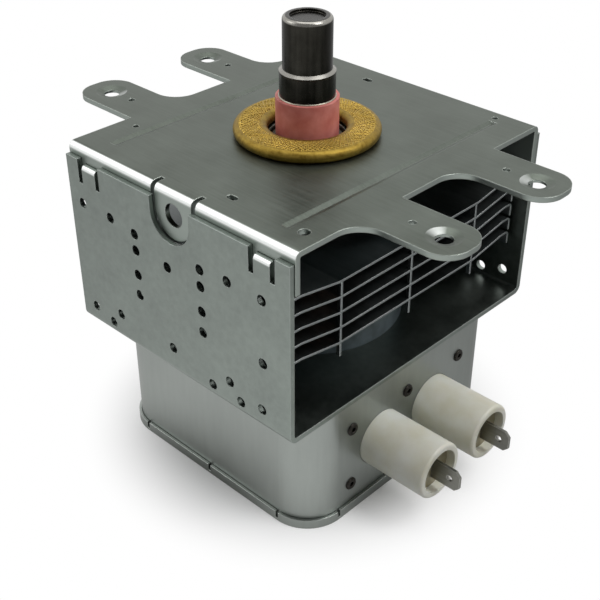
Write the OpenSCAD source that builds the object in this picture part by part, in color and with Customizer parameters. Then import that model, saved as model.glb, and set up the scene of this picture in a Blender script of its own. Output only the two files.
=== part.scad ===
// Microwave-oven magnetron: vacuum tube, ring magnets, steel yoke, cooling fins and filter box
// Origin: antenna axis where it leaves the top face of the mounting plate; antenna along +Z
// The open ends of the yoke face -X and +X, its side panels face -Y and +Y

/* [Yoke] */
// Length of the yoke between its open ends
yoke_l = 80; // [78:0.5:90]
// Width of the yoke over its two side panels
yoke_w = 94.6; // [92:0.2:104]
// Height from the mounting face to the underside of the yoke floor
yoke_h = 52.8; // [50.4:0.2:56]
// Thickness of the yoke steel
yoke_t = 1.4; // [1.2:0.1:1.6]
// Outer radius of the two long folds of the yoke
yoke_bend_r = 2.2; // [1.8:0.1:3]
// Drop from the mounting face to the top edge of a side panel
panel_drop = 2.9; // [2.2:0.1:3.4]

/* [Side panel holes] */
// Sideways shift of the punched hole pattern from the antenna axis
pattern_shift = 2; // [0:0.1:2.5]
// Diameter of the small punched holes
punch_d = 2.9; // [1.6:0.1:3]
// Half spacing of the two columns of holes
column_x = 12.1; // [11.5:0.1:14]
// Depth of the first hole of a column below the mounting face
column_top = 16.3; // [15.8:0.1:17]
// Step from the first to the second hole of a column
column_step_1 = 4.7; // [4:0.1:5.5]
// Step from the second to the third hole of a column
column_step_2 = 7.2; // [5:0.1:7.6]
// Step from the third to the fourth hole of a column
column_step_3 = 6.1; // [5:0.1:7]
// Depth of the upper hole on the centre line
centre_hole_1 = 20.8; // [19.8:0.2:24]
// Depth of the lower hole on the centre line
centre_hole_2 = 45; // [42:0.2:46.4]
// Depth of the row of holes near the panel corners
corner_row = 15.4; // [14.8:0.1:17]
// Half spacing of the outer holes of that row
corner_x_1 = 33; // [31:0.1:34]
// Half spacing of the inner holes of that row
corner_x_2 = 21.6; // [19:0.1:24]
// Depth of the upper hole of each lower cluster
cluster_z_1 = 44.6; // [42.5:0.1:45]
// Depth of the outer hole of each lower cluster
cluster_z_2 = 47; // [46.6:0.1:47.6]
// Depth of the lowest hole of each lower cluster
cluster_z_3 = 48.8; // [48.4:0.1:49]
// Half spacing of the upper holes of the lower clusters
cluster_x_1 = 21.2; // [20:0.1:22]
// Half spacing of the outer holes of the lower clusters
cluster_x_2 = 32.4; // [30:0.1:34]
// Half spacing of the lowest holes of the lower clusters
cluster_x_3 = 25; // [24.4:0.1:26]
// Offset of the single hole on the lowest row
single_low_x = 14.8; // [12:0.1:17]
// Depth of the single hole near the panel edge
single_edge_z = 33; // [28:0.2:38]

/* [Panel hooks] */
// Half spacing of the folded hooks that lock the plate to the yoke
hook_x = 31.2; // [29:0.1:32]
// Width of a folded hook
hook_w = 5.2; // [4:0.1:6]
// Width of the slit on each side of a hook
slit_w = 1.6; // [1.2:0.1:2]
// Depth below the mounting face reached by the slits
slit_z = 9.4; // [8.4:0.1:10.4]
// Depth below the mounting face of the top of a hook
hook_z = 4.2; // [3.8:0.1:4.6]

/* [Mounting plate] */
// Thickness of the mounting plate
plate_t = 1.4; // [1.2:0.1:1.6]
// Length of the mounting plate without its ears
plate_l = 80.6; // [80:0.2:90]
// Depth below the mounting face reached by the plate's folded edges
flange_h = 11; // [10:0.2:12]
// Outer radius of the plate's folds
plate_bend_r = 1.9; // [1.7:0.1:2.2]
// Spacing of the mounting holes along X
ear_hole_x = 116.8; // [114:0.2:124]
// Spacing of the mounting holes along Y
ear_hole_y = 36; // [34:0.2:39]
// Diameter of a mounting hole
ear_hole_d = 4.4; // [3.8:0.1:5]
// Diameter of the dimple round a mounting hole
dimple_d = 8.6; // [7.4:0.1:9.4]
// Depth of the dimple
dimple_h = 0.7; // [0.5:0.05:0.8]
// Width of an ear
ear_w = 15.4; // [13:0.2:16.4]
// Distance from a mounting hole to the end of its ear
ear_end = 7.6; // [6.6:0.1:9]
// Corner radius at the end of an ear
ear_r = 6.6; // [3:0.1:8]
// Radius in the corner where an ear leaves the plate
ear_fillet = 7; // [4:0.1:8]
// Spacing of the pilot holes along X
pilot_x = 99; // [96:0.2:102]
// Diameter of the pilot holes
pilot_d = 1.9; // [1.2:0.1:2.4]
// Distance of the stiffening beads from the antenna axis
bead_x = 30.6; // [29.8:0.1:33]
// Length of a stiffening bead
bead_l = 78; // [50:1:82]
// Width of a stiffening bead
bead_w = 2.8; // [1.6:0.1:3.2]
// Depth of a stiffening bead
bead_h = 0.45; // [0.3:0.05:0.7]
// Distance of the punched slots from the antenna axis along X
slot_x = 12.2; // [11.5:0.1:16]
// Distance of the punched slots and corner holes from the antenna axis along Y
slot_y = 37.8; // [36.5:0.1:39.2]
// Length of a punched slot
slot_l = 3.2; // [2.6:0.1:4]
// Distance of the plate's corner holes from the antenna axis along X
corner_hole_x = 35.2; // [34:0.1:36.2]
// Distance of the rear gauge hole from the antenna axis along X
gauge_x_1 = 29.6; // [26:0.1:33]
// Distance of the rear gauge hole from the antenna axis along Y
gauge_y_1 = 41.2; // [40.6:0.1:41.8]
// Distance of the left gauge hole from the antenna axis along X
gauge_x_2 = 35; // [33:0.1:37]
// Distance of the left gauge hole from the antenna axis along Y
gauge_y_2 = 28.2; // [20:0.1:32]
// Diameter of the gauge holes
gauge_d = 1.6; // [1.2:0.1:2]

/* [Earth tongue] */
// Width of the tongue folded down behind the window of the front panel
tongue_w = 13.2; // [12:0.2:14]
// Diameter of the round window that shows the tongue
window_d = 14.2; // [13:0.2:15]
// Depth of the tongue's screw hole below the mounting face
tongue_z = 6.3; // [6:0.1:6.6]
// Diameter of the tongue's screw hole
tongue_hole_d = 6.2; // [5:0.1:6.6]
// Width of the relief slit on each side of the tongue
relief_w = 1.4; // [1:0.1:1.8]
// Length of the relief slits measured in from the outer face of the fold
relief_l = 3.6; // [3:0.1:5]

/* [Magnets] */
// Outer diameter of a ring magnet
magnet_d = 54; // [50:0.5:56]
// Bore of a ring magnet
magnet_bore = 21; // [20.8:0.1:23]
// Thickness of a ring magnet
magnet_t = 12.2; // [11.6:0.1:12.4]

/* [Anode] */
// Outer diameter of the anode cylinder
anode_d = 38.6; // [37:0.2:41]
// Wall thickness of the anode cylinder
anode_wall = 2; // [1.6:0.1:2.4]
// Number of vanes
vane_n = 10; // [8:2:12]
// Thickness of a vane
vane_t = 1.9; // [1.5:0.1:2.1]
// Height of a vane
vane_h = 9.4; // [8.8:0.1:9.6]
// Diameter of the circle left open between the vane tips
vane_bore = 9.2; // [9:0.1:9.6]
// Mean radius of the inner strap rings
strap_r_1 = 6; // [5.8:0.05:6.1]
// Mean radius of the outer strap rings
strap_r_2 = 7.5; // [7.4:0.05:7.8]
// Radial thickness of a strap ring
strap_t = 0.6; // [0.5:0.05:0.7]
// Height of a strap ring
strap_h = 1.5; // [1.2:0.1:1.8]
// Thickness of a pole piece
pole_t = 1.6; // [1.2:0.1:1.8]
// Gap between the dish of a pole piece and the vanes
pole_gap = 2.5; // [2.3:0.1:2.8]
// Bore of a pole piece
pole_bore = 9.6; // [9.2:0.1:10]

/* [Cathode and stem] */
// Wire diameter of the filament
filament_wire = 0.5; // [0.4:0.05:0.6]
// Mean radius of the filament coil
filament_r = 1.75; // [1.6:0.05:2]
// Number of turns of the filament
filament_turns = 8; // [6:1:9]
// Diameter of the end hats
hat_d = 7.6; // [7:0.1:8]
// Thickness of an end hat
hat_t = 1.2; // [0.9:0.1:1.5]
// Diameter of the cathode leads
lead_d = 1.4; // [1.2:0.1:1.5]
// Distance of the side lead from the tube axis
lead_y = 2.9; // [2.7:0.05:3]
// Outer diameter of the seal sleeves
sleeve_d = 18.8; // [18.2:0.1:19.2]
// Wall thickness of the seal sleeves
sleeve_t = 0.5; // [0.4:0.05:0.6]
// Diameter of the stem ceramic
stem_d = 18; // [17:0.2:19]
// Height of the stem ceramic
stem_h = 10.5; // [9:0.1:11]
// Distance from the underside of the yoke floor to the top of the stem ceramic
stem_drop = 3.2; // [2.6:0.1:4]
// Thickness of the stem terminal plates
tab_t = 1; // [0.8:0.1:1.2]

/* [Antenna] */
// Height of the antenna above the mounting face
antenna_h = 31.2; // [30:0.1:33]
// Outer diameter of the antenna cap
cap_d = 12.7; // [12.4:0.1:13.2]
// Diameter of the flared lip of the cap
lip_d = 14.6; // [13.6:0.1:15]
// Height of the lip above the mounting face
lip_z = 16.8; // [16:0.1:18]
// Height of the flared lip
lip_h = 1; // [0.8:0.1:1.6]
// Thickness of the lip at its rim
lip_edge = 0.4; // [0.3:0.05:0.6]
// Width of the raised rim round the recess in the top of the cap
cap_rim = 1.8; // [1.4:0.1:2.4]
// Depth of the recess in the top of the cap
cap_recess_h = 0.7; // [0.4:0.05:1]
// Radius of the top edge of the cap
cap_edge_r = 1.1; // [0.6:0.05:1.4]
// Wall thickness of the cap and of the cup under it
cap_t = 0.6; // [0.5:0.05:0.7]
// Diameter of the cup on top of the ceramic
cup_d = 14.4; // [14:0.1:15]
// Height of the neck of the cup inside the cap
neck_h = 3.5; // [2.5:0.1:4.5]
// Diameter of the output ceramic
ceramic_d = 16.4; // [15.6:0.1:17.2]
// Wall thickness of the output ceramic
ceramic_t = 2.2; // [1.9:0.1:2.5]
// Height of the top of the output ceramic above the mounting face
ceramic_z = 10.4; // [9.6:0.1:12]
// Depth of the foot of the output ceramic below the mounting face
ceramic_foot = 0.9; // [0.6:0.1:1.3]
// Diameter of the antenna rod
rod_d = 2.5; // [2:0.1:2.8]
// Height of the first bend of the antenna rod above the vanes
rod_rise = 1.6; // [1.4:0.1:2]
// Depth of the second bend of the antenna rod below the mounting face
rod_bend = 5; // [4:0.2:6]
// Diameter of the exhaust tube
exhaust_d = 6.4; // [5.8:0.1:7]
// Wall thickness of the exhaust tube
exhaust_t = 0.9; // [0.7:0.05:1.2]
// Length of the exhaust tube below the lip of the cap
exhaust_low = 3; // [2:0.1:4]
// Distance from the top of the antenna down to where the exhaust tube starts to flatten
pinch_drop = 8; // [7:0.1:9]
// Thickness of the pinched end of the exhaust tube
pinch_flat = 1.6; // [1.2:0.1:2.4]
// Free height above the pinched end inside the cap
pinch_room = 1.2; // [0.8:0.1:2]
// Outer diameter of the mesh gasket
gasket_d = 38.4; // [34:0.2:42]
// Bore of the mesh gasket
gasket_bore = 20.3; // [20:0.1:22]
// Height of the mesh gasket
gasket_h = 3.2; // [2.6:0.1:4.2]

/* [Cooling fins] */
// Length of the anode left bare beyond the stack of fins
fin_end = 0.4; // [0.2:0.1:1.6]
// Gap between the folded ends of a fin and the side panels
fin_gap = 2.4; // [0.4:0.1:3]
// Thickness of a fin
fin_t = 0.6; // [0.4:0.05:0.7]
// Length of a fin along X
fin_l = 73; // [66:0.5:76]
// Rise of the outer wings of a fin
wing_rise = 2.2; // [1:0.1:2.4]
// Distance from the tube axis at which the wings start to rise
wing_y_1 = 27; // [26:0.5:30]
// Length of the level strip between a wing's slope and the bend at its end
wing_flat = 2.1; // [0.5:0.1:5]
// Gap between the folded ends of a fin and the fin below
fold_gap = 1.1; // [0.8:0.1:2]
// Outer radius of the bend at the folded ends of a fin
fin_bend_r = 1.4; // [1:0.1:1.6]
// Height of the collar round the anode
collar_h = 1.8; // [1.2:0.1:1.9]
// Width of the spacer tabs of a fin
spacer_w = 1.2; // [0.8:0.1:3]

/* [Filter box] */
// Length of the filter can along X
can_l = 75.6; // [74:0.2:79]
// Width of the filter can along Y
can_w = 77.2; // [72:0.2:84]
// Height of the filter box with its lid
box_h = 38.7; // [37:0.1:44]
// Thickness of the can and lid steel
can_t = 0.8; // [0.6:0.05:1]
// Radius of the upright corners of the can
can_r = 11; // [9:0.2:12]
// Radius of the drawn edge round the top of the can
can_top_r = 2.4; // [1.6:0.1:3]
// Height of the lid's folded rim
rim_h = 2.8; // [2:0.1:4]
// Width of the relief slits in the rim
rim_slit = 0.9; // [0.6:0.1:1.4]

/* [Filter parts] */
// Depth of the terminals below the underside of the yoke floor
term_drop = 20.4; // [20:0.1:22]
// Half spacing of the two terminals
term_y = 10.8; // [10.2:0.1:11.4]
// Diameter of the white terminal insulators
insulator_d = 16; // [15:0.1:16.6]
// Distance the insulators stand out from the can
insulator_out = 20.4; // [17:0.2:24]
// Thickness of the closed end of an insulator
insulator_base = 2; // [1.5:0.1:3]
// Wall thickness of the insulators
insulator_wall = 1.8; // [1.4:0.1:2.2]
// Radius of the outer edge at the mouth of an insulator
insulator_edge = 0.8; // [0.4:0.1:1.2]
// Depth of the potting below the mouth of an insulator
potting_dip = 2.6; // [1.5:0.1:3.5]
// Width of a terminal blade
blade_w = 6.3; // [4.8:0.1:6.5]
// Thickness of a terminal blade
blade_t = 0.8; // [0.6:0.05:1]
// Distance a blade stands out from its insulator
blade_out = 6.4; // [5:0.1:8]
// Diameter of the hole in a blade
blade_hole_d = 1.8; // [1.4:0.1:2.2]
// Cut-back of the corners at the tip of a blade
blade_tip = 1.4; // [0.8:0.1:2]
// Diameter of the feed-through rods
feed_d = 2; // [1.6:0.1:2.4]
// Length of a feed-through rod inside its insulator
feed_in = 7; // [5:0.2:9]
// Length of the capacitor body inside the can
capacitor_l = 12; // [10:0.2:12.6]
// Diameter of each end of the capacitor body
capacitor_d = 14.4; // [13:0.1:15]
// Wall thickness of the capacitor case
case_wall = 1; // [0.8:0.1:1.4]
// Half length of the capacitor flange
flange_y = 25.4; // [24.8:0.1:26]
// Half height of the capacitor flange
flange_z = 12; // [11.6:0.1:12.8]
// Thickness of the capacitor flange
flange_t = 1; // [0.8:0.1:1.2]
// Half spacing of the rivets along the flange
rivet_y = 22.4; // [22:0.1:23]
// Half spacing of the rivets across the flange
rivet_z = 9.4; // [9.4:0.1:10]
// Diameter of a rivet head
rivet_head = 3.6; // [3:0.1:4]
// Diameter of a rivet shank
rivet_d = 2.4; // [2:0.1:2.6]
// Height of the outer rivet heads
rivet_head_h = 0.6; // [0.4:0.05:0.8]
// Wire diameter of the choke coils
choke_wire = 1.4; // [1.2:0.1:1.6]
// Mean radius of a choke coil
choke_r = 4.6; // [4.3:0.1:5]
// Pitch of a choke coil
choke_pitch = 2.2; // [2.1:0.05:2.3]
// Number of turns of a choke coil
choke_turns = 9; // [7:1:9]
// Gap between the capacitor case and a choke coil
choke_gap = 1.6; // [1:0.1:2]
// Distance a core stands out of the stem end of its coil
core_out = 1; // [0.2:0.1:2]

/* [Fits] */
// Sliding clearance between parts that slip together
slip = 0.1; // [0.05:0.01:0.2]
// Clearance round parts that pass through a hole without touching
pass = 0.6; // [0.4:0.05:0.8]

/* [Hidden] */
$fn = 64;
tiny = 0.01;
// Length of a cutting tool past the faces it goes through
cut = 1;
// Facets of a wire's round section
wire_fn = 48;
// Levels of the stack between the plate and the yoke floor
floor_top = -yoke_h + yoke_t;
floor_bot = -yoke_h;
tube_top = -plate_t - magnet_t;
tube_bot = floor_top + magnet_t;
tube_mid = (tube_top + tube_bot) / 2;
anode_r = anode_d / 2;
anode_in = anode_r - anode_wall;
anode_h = tube_top - tube_bot - 2 * pole_t;
vane_top = tube_mid + vane_h / 2;
pole_dish = tube_top - vane_top - pole_gap;
// Air round a strap where it passes a vane without touching
strap_room = 0.4;
// Pole pieces: land inside the seal sleeve and flat lip round the bore
pole_land = 0.4;
pole_lip = 0.8;
dish_top_r = sleeve_d / 2 - sleeve_t - pole_land;
dish_low_r = pole_bore / 2 + pole_lip;
// Side panels and plate edges
panel_out = yoke_w / 2;
panel_in = panel_out - yoke_t;
plate_out = panel_in - slip;
hook_in = plate_out - plate_t;
pattern_x = -pattern_shift;
// Length of an ear and of the tongue hidden inside the plate's own outline
ear_root = 8;
tongue_root = 4;
// Ears keep a short straight edge at the tip
ear_flat = 0.3;
ear_tip_r = min(ear_r, ear_w / 2 - ear_flat);
// Bends keep the sheet thickness
yoke_bend_in = yoke_bend_r - yoke_t;
plate_bend_in = plate_bend_r - plate_t;
// Antenna stack
sleeve_r = sleeve_d / 2;
ceramic_in = ceramic_d / 2 - ceramic_t;
neck_r = cap_d / 2 - cap_t - slip / 2;
seal_step = 1;
neck_z = lip_z + neck_h;
cap_recess_r = cap_d / 2 - cap_rim;
exhaust_in = exhaust_d / 2 - exhaust_t;
pinch_z = antenna_h - pinch_drop;
pinch_top = antenna_h - cap_recess_h - cap_t - pinch_room;
// Antenna rod: foot on a vane, then a slope to the axis
rod_gap = 0.3;
rod_foot_r = strap_r_2 + strap_t / 2 + rod_d / 2 + rod_gap;
rod_knee = [rod_foot_r, 0, vane_top + rod_rise];
rod_turn = [0, 0, -rod_bend];
// Extra radius of a bar where it turns
knuckle = 0.06;
// Cathode
filament_pitch = (vane_h - 2 * filament_wire) / filament_turns;
filament_z = tube_mid - filament_turns * filament_pitch / 2;
hat_gap = filament_wire / 2;
hat_low_top = filament_z - hat_gap;
hat_high_bot = filament_z + filament_turns * filament_pitch + hat_gap;
lead_r = lead_d / 2;
stem_top = floor_bot - stem_drop;
stem_bot = stem_top - stem_h;
// The centre lead steps over to the axis between these levels
jog_rise = 2;
jog_drop = 4;
jog_low = stem_top + jog_rise;
jog_high = tube_bot - jog_drop;
// Filter box levels
can_top = floor_bot;
box_bot = floor_bot - box_h;
can_bot = box_bot + can_t;
term_z = floor_bot - term_drop;
wall_out = can_l / 2;
wall_in = wall_out - can_t;
lid_grow = slip + can_t;
// Filter parts
insulator_end = wall_out + insulator_out;
insulator_floor = wall_in + insulator_base;
insulator_bore = insulator_d / 2 - insulator_wall;
potting_end = insulator_end - potting_dip;
blade_in = insulator_floor + feed_in;
blade_end = insulator_end + blade_out;
case_front = wall_in - flange_t;
case_back = case_front - capacitor_l;
case_room = 1;
feed_room = 2;
choke_y = term_y + choke_r - feed_d / 2 + choke_wire / 2;
choke_x = case_back - choke_gap - choke_wire / 2;
choke_end = choke_x - choke_turns * choke_pitch;
core_r = choke_r - choke_wire / 2 - slip;
tab_bot = stem_bot - tab_t;
tab_y = choke_y - choke_r;
// Width of a stem tab past the wire it carries
tab_edge = 0.6;
tab_half = choke_wire + tab_edge;
// Rivets: wall of the hollow shank, roll of the inner head and bevel of the outer one
grip = can_t + flange_t;
rivet_wall = 0.4;
rivet_bore = rivet_d / 2 - rivet_wall;
roll_h = 0.5;
roll_in = 0.2;
roll_r = rivet_head / 2 - roll_in;
rivet_bevel = 0.3;
// Fins sit on the anode, centred on it
fin_n = 5;
fin_pitch = (anode_h - fin_end) / fin_n;
fin_fold = fin_pitch - fold_gap;
fin_y = panel_in - fin_gap;
wing_y_2 = fin_y - fin_bend_r - wing_flat;
fin_low = tube_mid - fin_pitch * (fin_n - 1) / 2;
spacer_in = 0.4;
spacer_y = wing_y_1 - fin_t / 2 - spacer_in;

// Shared shapes

// Round bar from point p to point q
module bar(p, q, r) {
    d = q - p;
    translate(p)
        rotate([0, acos(d[2] / norm(d)), atan2(d[1], d[0])])
            cylinder(r = r, h = norm(d));
}

// Round bar through the points of a list, with a knuckle a little thicker than the bar at each turn
module bent_bar(points, r) {
    last = len(points) - 1;
    for (k = [0 : last - 1])
        bar(points[k], points[k + 1], r);
    for (k = [1 : last - 1])
        translate(points[k])
            sphere(r + knuckle);
}

// Profile drawn in the YZ plane, carried along X from -l/2 to l/2
module along_x(l) {
    rotate([90, 0, 90])
        linear_extrude(l, center = true)
            children();
}

// Round bar along X at height z and side position y
module x_bar(x0, x1, y, z, r) {
    translate([x0, y, z])
        rotate([0, 90, 0])
            cylinder(r = r, h = x1 - x0);
}

// Hole through a panel, drilled along Y from y0 to y1
module y_hole(x, z, d, y0, y1) {
    translate([x, y0, z])
        rotate([-90, 0, 0])
            cylinder(d = d, h = y1 - y0);
}

// Rectangle with round corners
module round_rect(l, w, r) {
    square([l, w - 2 * r], center = true);
    square([l - 2 * r, w], center = true);
    for (sx = [-1, 1], sy = [-1, 1])
        translate([sx * (l / 2 - r), sy * (w / 2 - r)])
            circle(r);
}

// Two circles and the straight piece between them
module stadium(half, r) {
    square([2 * half, 2 * r], center = true);
    for (s = [-1, 1])
        translate([s * half, 0])
            circle(r);
}

// Quarter of a bent sheet: outer radius ro, inner radius ri, in the corner +x +y
module bend(ro, ri) {
    intersection() {
        difference() {
            circle(ro);
            circle(ri);
        }
        square(ro);
    }
}

// Solid block with round upright corners and a round top edge, top at z = 0
module drawn_block(l, w, h, r, e) {
    for (sx = [-1, 1], sy = [-1, 1])
        translate([sx * (l / 2 - r), sy * (w / 2 - r), -h])
            rotate_extrude()
                drawn_half(r, h, e);
    rotate([90, 0, 0])
        linear_extrude(w - 2 * r, center = true)
            drawn_full(l, h, e);
    rotate([90, 0, 90])
        linear_extrude(l - 2 * r, center = true)
            drawn_full(w, h, e);
}

// Half profile of a round body with a round top edge, standing on y = 0
module drawn_half(r, h, e) {
    square([r - e, h]);
    square([r, h - e]);
    translate([r - e, h - e])
        intersection() {
            circle(e);
            square(e);
        }
}

// Full profile of a drawn wall pair, top at y = 0
module drawn_full(l, h, e) {
    for (s = [0, 1])
        mirror([s, 0])
            translate([0, -h]) {
                square([l / 2 - e, h]);
                square([l / 2, h - e]);
                translate([l / 2 - e, h - e])
                    circle(e);
            }
}

// Wire wound on a radius r, made of half turns that meet end to end, axis +Z
module coil(turns, pitch, r, wire_r) {
    tilt = atan(pitch / 4 / r);
    half_r = norm([r, pitch / 4]);
    for (k = [0 : 2 * turns - 1]) {
        odd = k % 2;
        translate([0, 0, (k + 0.5) * pitch / 2])
            rotate([0, odd ? -tilt : tilt, 0])
                rotate([0, 0, odd * 180])
                    rotate_extrude(angle = 180)
                        translate([half_r, 0])
                            circle(wire_r, $fn = wire_fn);
    }
}

// Yoke and mounting plate

// Cross-section of the yoke: floor, two long folds and two side panels
module yoke_profile() {
    floor_w = yoke_w - 2 * yoke_bend_r;
    translate([-floor_w / 2, floor_bot])
        square([floor_w, yoke_t]);
    for (s = [0, 1])
        mirror([s, 0]) {
            translate([panel_in, floor_bot + yoke_bend_r])
                square([yoke_t, yoke_h - yoke_bend_r - panel_drop]);
            translate([panel_out - yoke_bend_r, floor_bot + yoke_bend_r])
                mirror([0, 1])
                    bend(yoke_bend_r, yoke_bend_in);
        }
}

// Punched holes of one panel, seen from outside, cut along Y
module panel_holes() {
    y0 = -panel_out - cut;
    y1 = -panel_in + cut;
    z2 = column_top + column_step_1;
    z3 = z2 + column_step_2;
    z4 = z3 + column_step_3;
    for (s = [-1, 1]) {
        for (z = [column_top, z2, z3, z4])
            y_hole(pattern_x + s * column_x, -z, punch_d, y0, y1);
        y_hole(pattern_x + s * corner_x_1, -corner_row, punch_d, y0, y1);
        y_hole(pattern_x + s * corner_x_2, -corner_row, punch_d, y0, y1);
        y_hole(pattern_x + s * cluster_x_1, -cluster_z_1, punch_d, y0, y1);
        y_hole(pattern_x + s * cluster_x_2, -cluster_z_2, punch_d, y0, y1);
        y_hole(pattern_x + s * cluster_x_3, -cluster_z_3, punch_d, y0, y1);
    }
    y_hole(pattern_x, -centre_hole_1, punch_d, y0, y1);
    y_hole(pattern_x, -centre_hole_2, punch_d, y0, y1);
    y_hole(pattern_x + single_low_x, -cluster_z_3, punch_d, y0, y1);
    y_hole(pattern_x + corner_x_1, -single_edge_z, punch_d, y0, y1);
}

// Slits beside each hook, and the room above the hook
module hook_slits() {
    gap_w = hook_w + 2 * slit_w;
    for (s = [-1, 1])
        translate([s * hook_x, -(panel_out + panel_in) / 2, 0]) {
            for (t = [-1, 1])
                translate([t * (hook_w + slit_w) / 2, 0, -slit_z / 2])
                    cube([slit_w, yoke_t + cut, slit_z], center = true);
            translate([-gap_w / 2, -(yoke_t + cut) / 2, -hook_z - yoke_t])
                cube([gap_w, yoke_t + cut, hook_z + yoke_t]);
        }
}

// Tongue ends folded inward through the plate's edge
module hooks() {
    for (s = [-1, 1])
        translate([s * hook_x, 0, 0])
            along_x(hook_w) {
                translate([-panel_in, -hook_z - yoke_t])
                    rotate(90)
                        bend(yoke_t, 0);
                translate([-panel_in, -hook_z - yoke_t])
                    square([panel_in - hook_in, yoke_t]);
            }
}

// Round window in front of the tongue, open to the top edge of the front panel
module tongue_window() {
    y_hole(0, -tongue_z, window_d, -panel_out - cut, -panel_in + cut);
    translate([-window_d / 2, -panel_out - cut, -tongue_z])
        cube([window_d, yoke_t + 2 * cut, tongue_z]);
}

module yoke() {
    color("Silver")
        difference() {
            union() {
                difference() {
                    along_x(yoke_l)
                        yoke_profile();
                    for (a = [0, 180])
                        rotate(a) {
                            panel_holes();
                            hook_slits();
                        }
                }
                for (a = [0, 180])
                    rotate(a)
                        hooks();
            }
            translate([0, 0, floor_bot - cut])
                cylinder(r = sleeve_r + pass, h = yoke_t + 2 * cut);
            tongue_window();
        }
}

// Cross-section of the plate: flat top and two folded edges
module plate_profile() {
    flat_w = 2 * (plate_out - plate_bend_r);
    translate([-flat_w / 2, -plate_t])
        square([flat_w, plate_t]);
    for (s = [0, 1])
        mirror([s, 0]) {
            translate([plate_out - plate_bend_r, -plate_bend_r])
                bend(plate_bend_r, plate_bend_in);
            translate([plate_out - plate_t, -flange_h])
                square([plate_t, flange_h - plate_bend_r]);
        }
}

// Outline of the two ears at +X
module ear_pair() {
    root = plate_l / 2 - ear_root;
    tip = ear_hole_x / 2 + ear_end;
    r = ear_tip_r;
    for (s = [-1, 1])
        translate([0, s * ear_hole_y / 2]) {
            translate([root, -ear_w / 2])
                square([tip - r - root, ear_w]);
            translate([root, r - ear_w / 2])
                square([tip - root, ear_w - 2 * r]);
            for (t = [-1, 1])
                translate([tip - r, t * (ear_w / 2 - r)])
                    circle(r);
            translate([plate_l / 2, -ear_w / 2 - ear_fillet])
                difference() {
                    translate([-tiny, 0])
                        square(ear_fillet + tiny);
                    translate([ear_fillet, 0])
                        circle(ear_fillet);
                }
        }
}

// Tongue with a round end, folded down in line with the front edge of the plate
module tongue() {
    intersection() {
        along_x(tongue_w)
            mirror([1, 0]) {
                translate([plate_out - relief_l - tongue_root, -plate_t])
                    square([relief_l + tongue_root - plate_bend_r, plate_t]);
                translate([plate_out - plate_bend_r, -plate_bend_r])
                    bend(plate_bend_r, plate_bend_in);
                translate([plate_out - plate_t, -tongue_z - tongue_w])
                    square([plate_t, tongue_z + tongue_w - plate_bend_r]);
            }
        translate([0, -plate_out - cut, 0])
            rotate([-90, 0, 0])
                linear_extrude(plate_out) {
                    translate([-tongue_w / 2, -cut])
                        square([tongue_w, tongue_z + cut]);
                    translate([0, tongue_z])
                        circle(d = tongue_w);
                }
    }
}

// Everything punched or pressed into the plate
module plate_cuts() {
    down = -plate_t - cut;
    through = plate_t + 2 * cut;
    translate([0, 0, down])
        cylinder(r = sleeve_r + pass, h = through);
    for (sx = [-1, 1], sy = [-1, 1]) {
        translate([sx * ear_hole_x / 2, sy * ear_hole_y / 2, down])
            cylinder(d = ear_hole_d, h = through);
        translate([sx * ear_hole_x / 2, sy * ear_hole_y / 2, -dimple_h])
            cylinder(d1 = ear_hole_d, d2 = dimple_d, h = dimple_h);
        translate([sx * pilot_x / 2, sy * ear_hole_y / 2, down])
            cylinder(d = pilot_d, h = through);
    }
    for (a = [0, 180])
        rotate(a) {
            translate([slot_x, -slot_y, down])
                linear_extrude(through)
                    stadium((slot_l - pilot_d) / 2, pilot_d / 2);
            translate([corner_hole_x, -slot_y, down])
                cylinder(d = punch_d, h = through);
            for (s = [-1, 1])
                translate([s * hook_x, -plate_out + plate_t / 2, -hook_z - yoke_t / 2])
                    cube([hook_w + 2 * slip, plate_t + cut, yoke_t + 2 * slip], center = true);
        }
    for (p = [[gauge_x_1, gauge_y_1], [-gauge_x_2, -gauge_y_2]])
        translate([p[0], p[1], down])
            cylinder(d = gauge_d, h = through);
    for (s = [-1, 1])
        translate([s * bead_x, 0, 0])
            bead();
}

// Vee bead along Y: a flat bar on edge, half of it below z = 0
module bead() {
    half = bead_w / 2;
    rotate([90, 0, 0])
        linear_extrude(bead_l, center = true)
            polygon([[half, 0], [0, bead_h], [-half, 0], [0, -bead_h]]);
}

module top_plate() {
    clear_w = tongue_w + 2 * relief_w;
    color("Silver")
        difference() {
            union() {
                difference() {
                    along_x(plate_l)
                        plate_profile();
                    translate([-clear_w / 2, -plate_out - cut, -flange_h - cut])
                        cube([clear_w, relief_l + cut, flange_h + 2 * cut]);
                }
                tongue();
                for (a = [0, 180])
                    rotate(a)
                        translate([0, 0, -plate_t])
                            linear_extrude(plate_t)
                                ear_pair();
                for (s = [-1, 1])
                    translate([s * bead_x, 0, -plate_t])
                        bead();
            }
            plate_cuts();
            y_hole(0, -tongue_z, tongue_hole_d, -plate_out - cut, -hook_in + cut);
        }
}

module rf_gasket() {
    mid = (gasket_d + gasket_bore) / 4;
    flat = (gasket_d - gasket_bore) / 2 - gasket_h;
    color("Gold")
        translate([0, 0, gasket_h / 2])
            rotate_extrude()
                translate([mid, 0])
                    stadium(flat / 2, gasket_h / 2);
}

// Antenna

module antenna_cap() {
    r = cap_d / 2;
    h = antenna_h - lip_z;
    color("DimGray")
        translate([0, 0, lip_z])
            rotate_extrude()
                difference() {
                    union() {
                        drawn_half(r, h, cap_edge_r);
                        polygon([[0, 0], [lip_d / 2, 0], [lip_d / 2, lip_edge], [r, lip_h], [0, lip_h]]);
                    }
                    translate([0, h - cap_recess_h])
                        square([cap_recess_r, cap_recess_h + cut]);
                    translate([0, -cut])
                        square([r - cap_t, h + cut - cap_recess_h - cap_t]);
                }
}

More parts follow.
